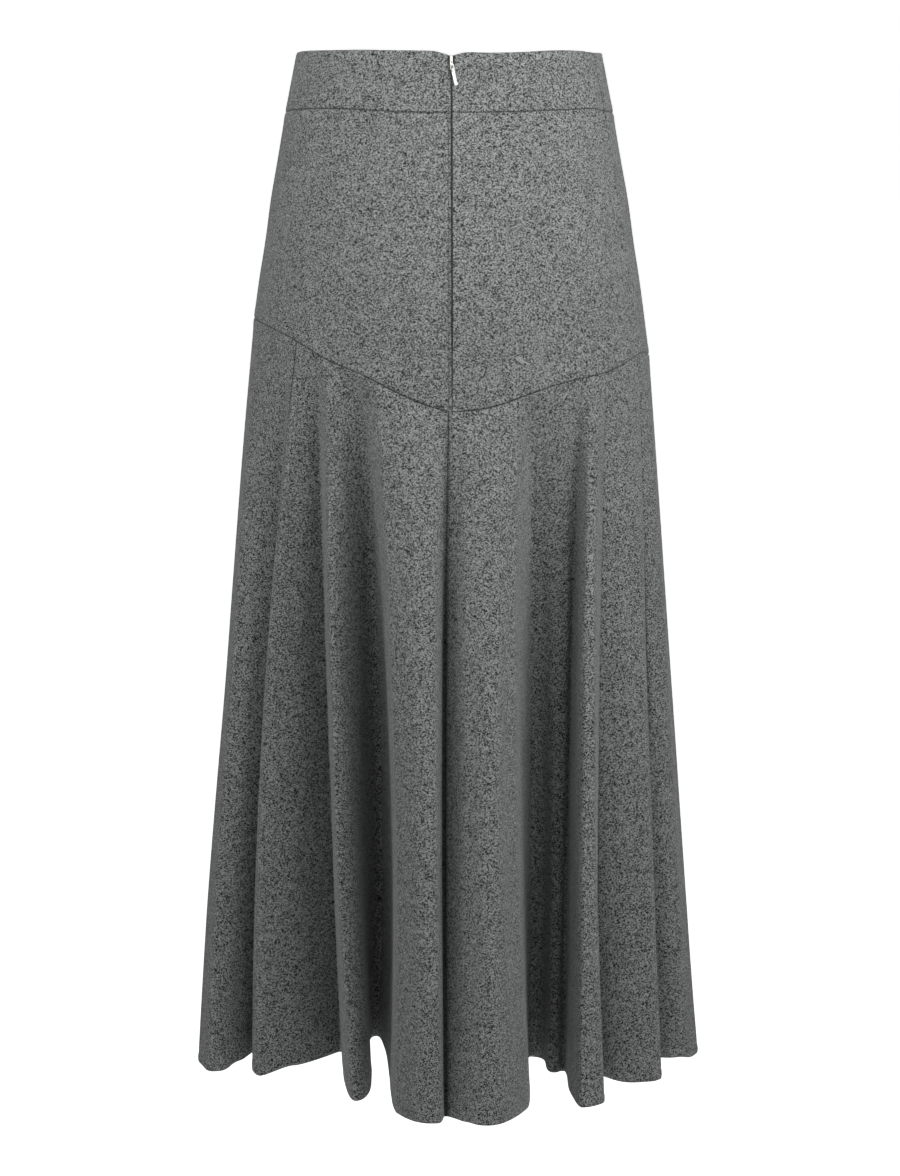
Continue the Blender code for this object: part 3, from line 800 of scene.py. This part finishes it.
# Long soft creases that run down the flare and deepen towards the hem
def flareRumple(turn, share):
    along = hemLength(turn) / flareWave["across"]
    down = share * flareWave["long"] / flareWave["down"]
    big = softNoise(along, down + flareWave["from"], flareWave["seed"])
    small = softNoise(along * flareWave["smallAcross"],
                      down * flareWave["smallDown"] + flareWave["smallFrom"], flareWave["seed"] + 1)
    grow = np.clip(share * flareWave["grow"], 0.0, 1.0)
    return (flareWave["amount"] * big + flareWave["small"] * small) * grow


def geometryTree(name, inputs):
    tree = bpy.data.node_groups.new(name, "GeometryNodeTree")
    tree.is_modifier = True
    tree.interface.new_socket(name="Geometry", in_out="INPUT", socket_type="NodeSocketGeometry")
    for label, kind in inputs:
        tree.interface.new_socket(name=label, in_out="INPUT", socket_type=kind)
    tree.interface.new_socket(name="Geometry", in_out="OUTPUT", socket_type="NodeSocketGeometry")
    return tree, tree.nodes.new("NodeGroupInput"), tree.nodes.new("NodeGroupOutput")


def finishTree(tree, instances, material, out):
    real = addNode(tree, "GeometryNodeRealizeInstances")
    tree.links.new(instances.outputs[0], real.inputs[0])
    painted = addNode(tree, "GeometryNodeSetMaterial")
    tree.links.new(real.outputs[0], painted.inputs["Geometry"])
    tree.links.new(material, painted.inputs["Material"])
    tree.links.new(painted.outputs[0], out.inputs[0])


# Stitches: small rounded stitches lying along a line of sewing
def buildStitchTree():
    tree, inp, out = geometryTree("stitchesAlongLine", [
        ("Every", "NodeSocketFloat"), ("Long", "NodeSocketFloat"), ("Thick", "NodeSocketFloat"),
        ("Seed", "NodeSocketInt"), ("Thread", "NodeSocketMaterial")])
    line = addNode(tree, "GeometryNodeMeshToCurve", Mesh=inp.outputs["Geometry"])
    spaced = addNode(tree, "GeometryNodeResampleCurve", {"mode": "LENGTH"}, Curve=line.outputs[0],
                     Length=inp.outputs["Every"])
    bead = addNode(tree, "GeometryNodeMeshIcoSphere", Radius=0.5, Subdivisions=2)
    smooth = addNode(tree, "GeometryNodeSetShadeSmooth", Geometry=bead.outputs["Mesh"])
    size = addNode(tree, "ShaderNodeCombineXYZ", X=inp.outputs["Long"], Y=inp.outputs["Thick"],
                   Z=inp.outputs["Thick"])
    uneven = addNode(tree, "FunctionNodeRandomValue", {"data_type": "FLOAT"}, Seed=inp.outputs["Seed"])
    uneven.inputs[2].default_value = 0.8
    uneven.inputs[3].default_value = 1.15
    sized = addNode(tree, "ShaderNodeVectorMath", {"operation": "SCALE"}, _0=size.outputs[0])
    tree.links.new(uneven.outputs[1], sized.inputs["Scale"])
    tangent = addNode(tree, "GeometryNodeInputTangent")
    turned = addNode(tree, "FunctionNodeAlignRotationToVector", {"axis": "X"}, Vector=tangent.outputs[0])
    placed = addNode(tree, "GeometryNodeInstanceOnPoints", Points=spaced.outputs[0],
                     Instance=smooth.outputs[0], Rotation=turned.outputs[0], Scale=sized.outputs[0])
    finishTree(tree, placed, inp.outputs["Thread"], out)
    return tree


# Zip coil: rungs that reach from each tape in turn past the middle of the zip
def buildCoilTree():
    tree, inp, out = geometryTree("zipCoil", [
        ("Every", "NodeSocketFloat"), ("Rung", "NodeSocketVector"), ("Sideways", "NodeSocketFloat"),
        ("Nylon", "NodeSocketMaterial")])
    line = addNode(tree, "GeometryNodeMeshToCurve", Mesh=inp.outputs["Geometry"])
    spaced = addNode(tree, "GeometryNodeResampleCurve", {"mode": "LENGTH"}, Curve=line.outputs[0],
                     Length=inp.outputs["Every"])
    index = addNode(tree, "GeometryNodeInputIndex")
    odd = addNode(tree, "ShaderNodeMath", {"operation": "MODULO"}, _0=index.outputs[0], _1=2.0)
    side = addNode(tree, "ShaderNodeMath", {"operation": "MULTIPLY_ADD"}, _0=odd.outputs[0], _1=2.0,
                   _2=-1.0)
    away = addNode(tree, "ShaderNodeMath", {"operation": "MULTIPLY"}, _0=side.outputs[0],
                   _1=inp.outputs["Sideways"])
    step = addNode(tree, "ShaderNodeCombineXYZ", X=away.outputs[0])
    moved = addNode(tree, "GeometryNodeSetPosition", Geometry=spaced.outputs[0], Offset=step.outputs[0])
    rung = addNode(tree, "GeometryNodeMeshIcoSphere", Radius=0.5, Subdivisions=2)
    smooth = addNode(tree, "GeometryNodeSetShadeSmooth", Geometry=rung.outputs["Mesh"])
    placed = addNode(tree, "GeometryNodeInstanceOnPoints", Points=moved.outputs[0],
                     Instance=smooth.outputs[0], Scale=inp.outputs["Rung"])
    finishTree(tree, placed, inp.outputs["Nylon"], out)
    return tree


# A plain mesh of what the tree grows along these lines of points
def growAlong(name, lines, tree, values):
    points, edges = [], []
    for line in lines:
        first = len(points)
        points += [tuple(map(float, p)) for p in line]
        edges += [(i, i + 1) for i in range(first, len(points) - 1)]
    mesh = bpy.data.meshes.new(name + "Line")
    mesh.from_pydata(points, edges, [])
    holder = bpy.data.objects.new(name, mesh)
    scene.collection.objects.link(holder)
    modifier = holder.modifiers.new(name, "NODES")
    modifier.node_group = tree
    for item in tree.interface.items_tree:
        if item.in_out == "INPUT" and item.name in values:
            modifier[item.identifier] = values[item.name]
    depsgraph = bpy.context.evaluated_depsgraph_get()
    grown = bpy.data.meshes.new_from_object(holder.evaluated_get(depsgraph))
    holder.modifiers.clear()
    holder.data = grown
    bpy.data.meshes.remove(mesh)
    return holder


def dress(node, made):
    piece, wide, tall, area = made[:4]
    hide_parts(node)
    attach(piece, "skirt")
    print(f"{piece.name}: cut {wide:.3f} x {tall:.3f} m, {area:.4f} square metres")


# Waistband and yoke
sides = (("back_left", seamTurns["leftSide"], seamTurns["zip"], "seam", "zipPressed"),
         ("back_right", seamTurns["zip"], seamTurns["rightSide"], "zip", "raised"),
         ("front", seamTurns["rightSide"], 360.0 + seamTurns["leftSide"], "seam", "seam"))
bodyDone = []
for name, start, end, startKind, endKind in sides:
    turns = np.linspace(start + seamZone, end - seamZone, int((end - start - 2 * seamZone) / 1.7))
    place = bodySurface("top", "bandSeam")
    band = clothShell(f"cloth_waistband_{name}", place, start, end, turns, 10,
                      {"start": startKind, "end": "seam" if endKind == "raised" else endKind,
                       "upper": "fold", "lower": "seam"},
                      sewing["band"], bodyRumple(place), flannel)
    place = bodySurface("bandSeam", "yokeSeam")
    yoke = clothShell(f"cloth_yoke_{name}", place, start, end, turns, 34,
                      {"start": startKind, "end": endKind, "upper": "seam", "lower": "seam"},
                      sewing["cloth"], bodyRumple(place), flannel)
    bodyDone.append((name, band, yoke))
print("waistband and yoke made")

# Flared part
gores = (("gore_side_left", "leftSide", "leftGore", "seam", "seam"),
         ("gore_back_left", "leftGore", "back", "seam", "sunkSeam"),
         ("gore_back_right", "back", "rightGore", "sunkSeam", "quietSeam"),
         ("gore_side_right", "rightGore", "rightSide", "quietSeam", "raised"),
         ("flare_front", "rightSide", "leftSide", "seam", "seam"))
flareDone = []
for name, startSeam, endSeam, startKind, endKind in gores:
    start, end = seamTurns[startSeam], seamTurns[endSeam]
    end = end + 360.0 if end < start else end
    sparse = 1.45 if name == "flare_front" else 1.0    # the large front panel has its columns further apart
    turns = middleTurns(start + seamZone, end - seamZone, 4.6 * mm * sparse, 7.0 * sparse)
    made = clothShell(f"cloth_{name}", flarePoint, start, end, turns, 66,
                      {"start": startKind, "end": endKind, "upper": "seam", "lower": "hem"},
                      sewing["cloth"], flareRumple, flannel)
    flareDone.append((name, made))
print("flared part made")

# Blind stitches of the hem, in thread a little lighter than the cloth
hemSewing = {"Every": sewing["hemStitch"], "Long": 1.5 * mm, "Thick": 0.42 * mm, "Seed": 7,
             "Thread": thread}
hemStitches = growAlong("hem_stitches", [made[4] for name, made in flareDone], buildStitchTree(), hemSewing)
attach(hemStitches, "skirt")
print("hem sewn")

for name, band, yoke in bodyDone:
    dress(f"waistband_{name}", band)
    dress(f"yoke_{name}", yoke)
for name, made in flareDone:
    dress(name, made)


# Zip: tapes behind the cloth with their coil, the slider with its bail, and the pull tab on the bail
zipParts = {
    "top": -3.3 * mm,
    "down": sewing["zipEnds"],
    "tapeFrom": 0.62 * mm,       # beside the middle
    "tapeWide": 12.0 * mm,
    "tapeThick": 0.9 * mm,
    "tapeEdge": 1.2 * mm,        # it is thinner over this width
    "tapeEdgeThick": 0.55,
    "tapeGap": 0.4 * mm,         # behind the cloth
    "tapeEasing": 30.0 * mm,     # below the band it eases out from its thickness to the yoke's
    "easingFrom": 0.1,
    "tapeBelow": 12.0 * mm,      # past the end of the opening
    "coilTop": -17.0 * mm,
    "coilSeat": 0.75,            # its middle, as a share of the tape's thickness
    "coilEvery": 0.8 * mm,
    "rung": (3.0 * mm, 1.3 * mm, 0.95 * mm),
    "rungSideways": 1.15 * mm,
    "pivotHeight": -10.2 * mm,
    "pivotOut": 1.65 * mm,       # in front of the cloth
    "tabTilt": 13.0,             # degrees askew
    "bandSlope": 9.5,
}


def levelOut(turn, height):
    along = bodyPoint(turn + 0.02, height) - bodyPoint(turn - 0.02, height)
    out = np.stack([along[..., 1], -along[..., 0], 0 * along[..., 0]], -1)
    return out / np.linalg.norm(out, axis=-1, keepdims=True)


def behindCloth(height):
    below = (edgeHeight(0.0, "bandSeam") - height) / zipParts["tapeEasing"]
    share = np.clip(below - zipParts["easingFrom"], 0.0, 1.0)
    return sewing["band"] + (sewing["cloth"] - sewing["band"]) * share


def zipTape(name, side):
    heights = np.linspace(zipParts["top"], zipParts["down"] - zipParts["tapeBelow"], 90)[:, None]
    across = zipParts["tapeFrom"] + zipParts["tapeWide"] * np.linspace(0.0, 1.0, 13)
    across = across if side > 0 else -across[::-1]
    turn = seamTurns["zip"] + np.degrees(across / bodySize(heights, "backDepth"))
    height = heights + 0 * turn
    out = levelOut(turn, height)
    face = bodyPoint(turn, height) - out * (behindCloth(height) + zipParts["tapeGap"])[..., None]
    along, down = across + 0 * turn - across[0], zipParts["top"] - height
    edge = np.minimum(along, along[:, -1:] - along) / zipParts["tapeEdge"]
    full = zipParts["tapeEdgeThick"] + (1 - zipParts["tapeEdgeThick"]) * np.clip(edge, 0.0, 1.0)
    thin = zipParts["tapeThick"] * full
    piece = shellMesh(name, face, face - out * thin[..., None], along, down, 0 * turn, tapeCloth)
    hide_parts(name.replace("cloth_", ""))
    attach(piece, "skirt")
    return piece, float(down.max())


# From the pull tab's own axes, x across, y inward and z up at its pivot, to the skirt's
def pivotPlace(tilt):
    lean = math.radians(zipParts["bandSlope"])
    x, y, z = bodyPoint(np.array(seamTurns["zip"]), np.array(zipParts["pivotHeight"]))
    place = (x, y - zipParts["pivotOut"] * math.cos(lean), z + zipParts["pivotOut"] * math.sin(lean))
    return (Matrix.Translation(place) @ Matrix.Rotation(-lean, 4, "X")
            @ Matrix.Rotation(-math.radians(tilt), 4, "Y"))


# An outline through these corners, in millimetres, with each one rounded
def roundedLoop(corners, radius, steps=5):
    loop = []
    for i, (x, z) in enumerate(corners):
        here = np.array([x, z], float)
        before = np.array(corners[i - 1], float) - here
        after = np.array(corners[(i + 1) % len(corners)], float) - here
        cut = min(radius, 0.48 * np.linalg.norm(before), 0.48 * np.linalg.norm(after))
        a = here + before / np.linalg.norm(before) * cut
        b = here + after / np.linalg.norm(after) * cut
        for t in np.linspace(0.0, 1.0, steps):
            loop.append((a * (1 - t) ** 2 + here * 2 * t * (1 - t) + b * t**2) * mm)
    return loop


# A plate of these outlines, the first one filled and the rest holes, with rounded rims
def plate(loops, halfThick, bevel, inward):
    curve = bpy.data.curves.new("plate", "CURVE")
    curve.dimensions = "2D"
    curve.fill_mode = "BOTH"
    curve.extrude = (halfThick - bevel) * mm
    curve.bevel_depth = bevel * mm
    curve.bevel_resolution = 2
    curve.offset = -bevel * mm
    for loop in loops:
        spline = curve.splines.new("POLY")
        spline.points.add(len(loop) - 1)
        for point, (x, z) in zip(spline.points, loop):
            point.co = (x, z, 0.0, 1.0)
        spline.use_cyclic_u = True
    upright = Matrix.Rotation(math.pi / 2, 4, "X")
    return curveMesh(curve, Matrix.Translation((0.0, inward * mm, 0.0)) @ upright)


def wire(path, radius):
    curve = bpy.data.curves.new("wire", "CURVE")
    curve.dimensions = "3D"
    curve.bevel_depth = radius * mm
    curve.bevel_resolution = 3
    curve.use_fill_caps = True
    spline = curve.splines.new("POLY")
    spline.points.add(len(path) - 1)
    for point, (y, z) in zip(spline.points, path):
        point.co = (0.0, y * mm, z * mm, 1.0)
    return curveMesh(curve, Matrix.Identity(4))


def curveMesh(curve, turned):
    holder = bpy.data.objects.new("holder", curve)
    scene.collection.objects.link(holder)
    depsgraph = bpy.context.evaluated_depsgraph_get()
    mesh = bpy.data.meshes.new_from_object(holder.evaluated_get(depsgraph))
    mesh.transform(turned)
    bpy.data.objects.remove(holder, do_unlink=True)
    bpy.data.curves.remove(curve)
    return mesh


def joinedPiece(name, meshes, place, material):
    points, faces = [], []
    for mesh in meshes:
        first = len(points)
        points += [tuple(v.co) for v in mesh.vertices]
        faces += [[first + i for i in p.vertices] for p in mesh.polygons]
        bpy.data.meshes.remove(mesh)
    mesh = bpy.data.meshes.new(name)
    mesh.from_pydata(points, [], faces)
    mesh.transform(place)
    shape = bmesh.new()
    shape.from_mesh(mesh)
    bmesh.ops.remove_doubles(shape, verts=shape.verts, dist=0.001 * mm)
    bmesh.ops.recalc_face_normals(shape, faces=shape.faces)
    shape.to_mesh(mesh)
    shape.free()
    mesh.shade_smooth()
    mesh.set_sharp_from_angle(angle=math.radians(40.0))
    mesh.materials.append(material)
    piece = bpy.data.objects.new(name, mesh)
    scene.collection.objects.link(piece)
    return piece


tapes = [zipTape("cloth_zip_tape_left", -1), zipTape("cloth_zip_tape_right", 1)]
coilHeights = np.linspace(zipParts["coilTop"], zipParts["down"], 120)
coilTurn = np.full(len(coilHeights), seamTurns["zip"])
coilDeep = behindCloth(coilHeights) + zipParts["tapeGap"] + zipParts["coilSeat"] * zipParts["tapeThick"]
coilLine = bodyPoint(coilTurn, coilHeights) - levelOut(coilTurn, coilHeights) * coilDeep[:, None]
coil = growAlong("zip_coil", [coilLine], buildCoilTree(), {
    "Every": zipParts["coilEvery"], "Rung": zipParts["rung"], "Sideways": zipParts["rungSideways"],
    "Nylon": nylon})
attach(coil, "skirt")

# Slider and tab, in millimetres from the pivot: outlines, then the rounding of their corners, half
# their thickness, the rounding of their rims and how far inward they lie
sliderForm = {
    "body": [(-3.3, 7.5), (3.3, 7.5), (3.3, -1.4), (2.2, -4.9), (-2.2, -4.9), (-3.3, -1.4)],
    "nose": [(-0.5, 6.7), (0.5, 6.7), (0.5, 2.7), (-0.5, 2.7)],
    "neck": [(-0.42, 2.1), (0.42, 2.1), (0.42, -2.1), (-0.42, -2.1)],
    "bail": [(2.4, 1.7), (-0.5, 1.7), (-0.95, 1.6), (-1.25, 1.3), (-1.38, 0.8), (-1.4, 0.0),
             (-1.38, -0.8), (-1.25, -1.3), (-0.95, -1.6), (-0.5, -1.7), (2.4, -1.7)],
}
tabForm = {
    "outline": [(-1.45, 0.5), (1.45, 0.5), (1.45, -4.1), (1.2, -5.0), (1.2, -16.6), (-1.2, -16.6),
                (-1.2, -5.0), (-1.45, -4.1)],
    "eye": [(-1.0, -0.5), (1.0, -0.5), (1.0, -3.3), (-1.0, -3.3)],
    "slot": [(-0.5, -5.9), (0.5, -5.9), (0.5, -15.6), (-0.5, -15.6)],
    "panel": [(-0.7, -5.7), (0.7, -5.7), (0.7, -15.8), (-0.7, -15.8)],
}
sliderPlates = (("body", 1.1, 1.2, 0.35, 6.95), ("nose", 0.5, 1.9, 0.25, 3.85), ("neck", 0.2, 2.3, 0.1, 3.6))
tabLoops = (("outline", 1.0), ("eye", 0.6), ("slot", 0.4))
bailRadius = 0.4
sliderParts = [plate([roundedLoop(sliderForm[name], rounding)], halfThick, bevel, inward)
               for name, rounding, halfThick, bevel, inward in sliderPlates]
sliderParts.append(wire(sliderForm["bail"], bailRadius))
slider = joinedPiece("zip_slider_shaped", sliderParts, pivotPlace(0.0), nickel)
tab = joinedPiece("zip_tab_shaped", [
    plate([roundedLoop(tabForm[name], rounding) for name, rounding in tabLoops], 0.45, 0.14, 0.0),
    plate([roundedLoop(tabForm["panel"], 0.4)], 0.24, 0.05, 0.0),
], pivotPlace(zipParts["tabTilt"]), nickel)
for piece, node, body in ((slider, "zip_slider", "skirt"), (tab, "zip_tab", "zip_pull")):
    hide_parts(node)
    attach(piece, body)
print("zip made")


# Light: soft boxes high and near on both sides, and a broad one above the camera
lights = [
    # name, place, aim, width, height, watts
    ("rightSideBox", (1.1, -0.5, 0.8), (0.0, 0.0, 0.1), 0.8, 0.8, 13.0),
    ("leftSideBox", (-1.1, -0.5, 0.8), (0.0, 0.0, 0.1), 0.8, 0.8, 10.0),
    ("leftHighBox", (-0.65, -1.0, 0.7), (0.0, 0.0, 0.1), 0.8, 0.8, 7.0),
    ("rightLowBox", (0.65, -1.0, 0.35), (0.0, 0.0, 0.1), 0.8, 0.8, 9.2),
    ("frontBox", (0.0, -4.2, 1.6), (0.0, 0.0, -0.3), 1.6, 1.6, 15.0),
]
room = {"color": (1.0, 1.0, 1.0, 1.0), "glow": 0.02, "shownGlow": 1.0, "floorHeight": -1.1,
        "floorHalf": 60.0, "floorColor": (0.86, 0.86, 0.86, 1.0), "floorGlow": 1.16}


def aimAt(place, aim):
    way = Matrix.Translation(place).to_translation() - Matrix.Translation(aim).to_translation()
    return way.to_track_quat("Z", "Y").to_euler()


for name, place, aim, wide, tall, watts in lights:
    data = bpy.data.lights.new(name, "AREA")
    data.shape = "RECTANGLE"
    data.size, data.size_y, data.energy = wide, tall, watts
    lamp = bpy.data.objects.new(name, data)
    lamp.location = place
    lamp.rotation_euler = aimAt(place, aim)
    scene.collection.objects.link(lamp)

world = bpy.data.worlds.new("paleRoom")
scene.world = world
world.use_nodes = True
backdrop = world.node_tree.nodes["Background"]
backdrop.inputs["Color"].default_value = room["color"]
seen = addNode(world.node_tree, "ShaderNodeLightPath").outputs["Is Camera Ray"]
world.node_tree.links.new(spread(world.node_tree, seen, 0.0, 1.0, room["glow"], room["shownGlow"]),
                          backdrop.inputs["Strength"])

half, low = room["floorHalf"], room["floorHeight"]
floorMesh = bpy.data.meshes.new("floor")
floorMesh.from_pydata([(-half, -half, low), (half, -half, low), (half, half, low), (-half, half, low)], [],
                      [(0, 1, 2, 3)])
floorMaterial, floorTree, floorShader = newMaterial("paleFloor")
floorShader.inputs["Base Color"].default_value = room["floorColor"]
floorShader.inputs["Roughness"].default_value = 0.9
floorShader.inputs["Emission Color"].default_value = room["floorColor"]
seen = addNode(floorTree, "ShaderNodeLightPath").outputs["Is Camera Ray"]
glow = maths(floorTree, "MULTIPLY", seen, room["floorGlow"])
floorTree.links.new(glow, floorShader.inputs["Emission Strength"])
floorMesh.materials.append(floorMaterial)
floor = bpy.data.objects.new("floor", floorMesh)
scene.collection.objects.link(floor)
scene.view_settings.view_transform = "Standard"
print("light and floor set")
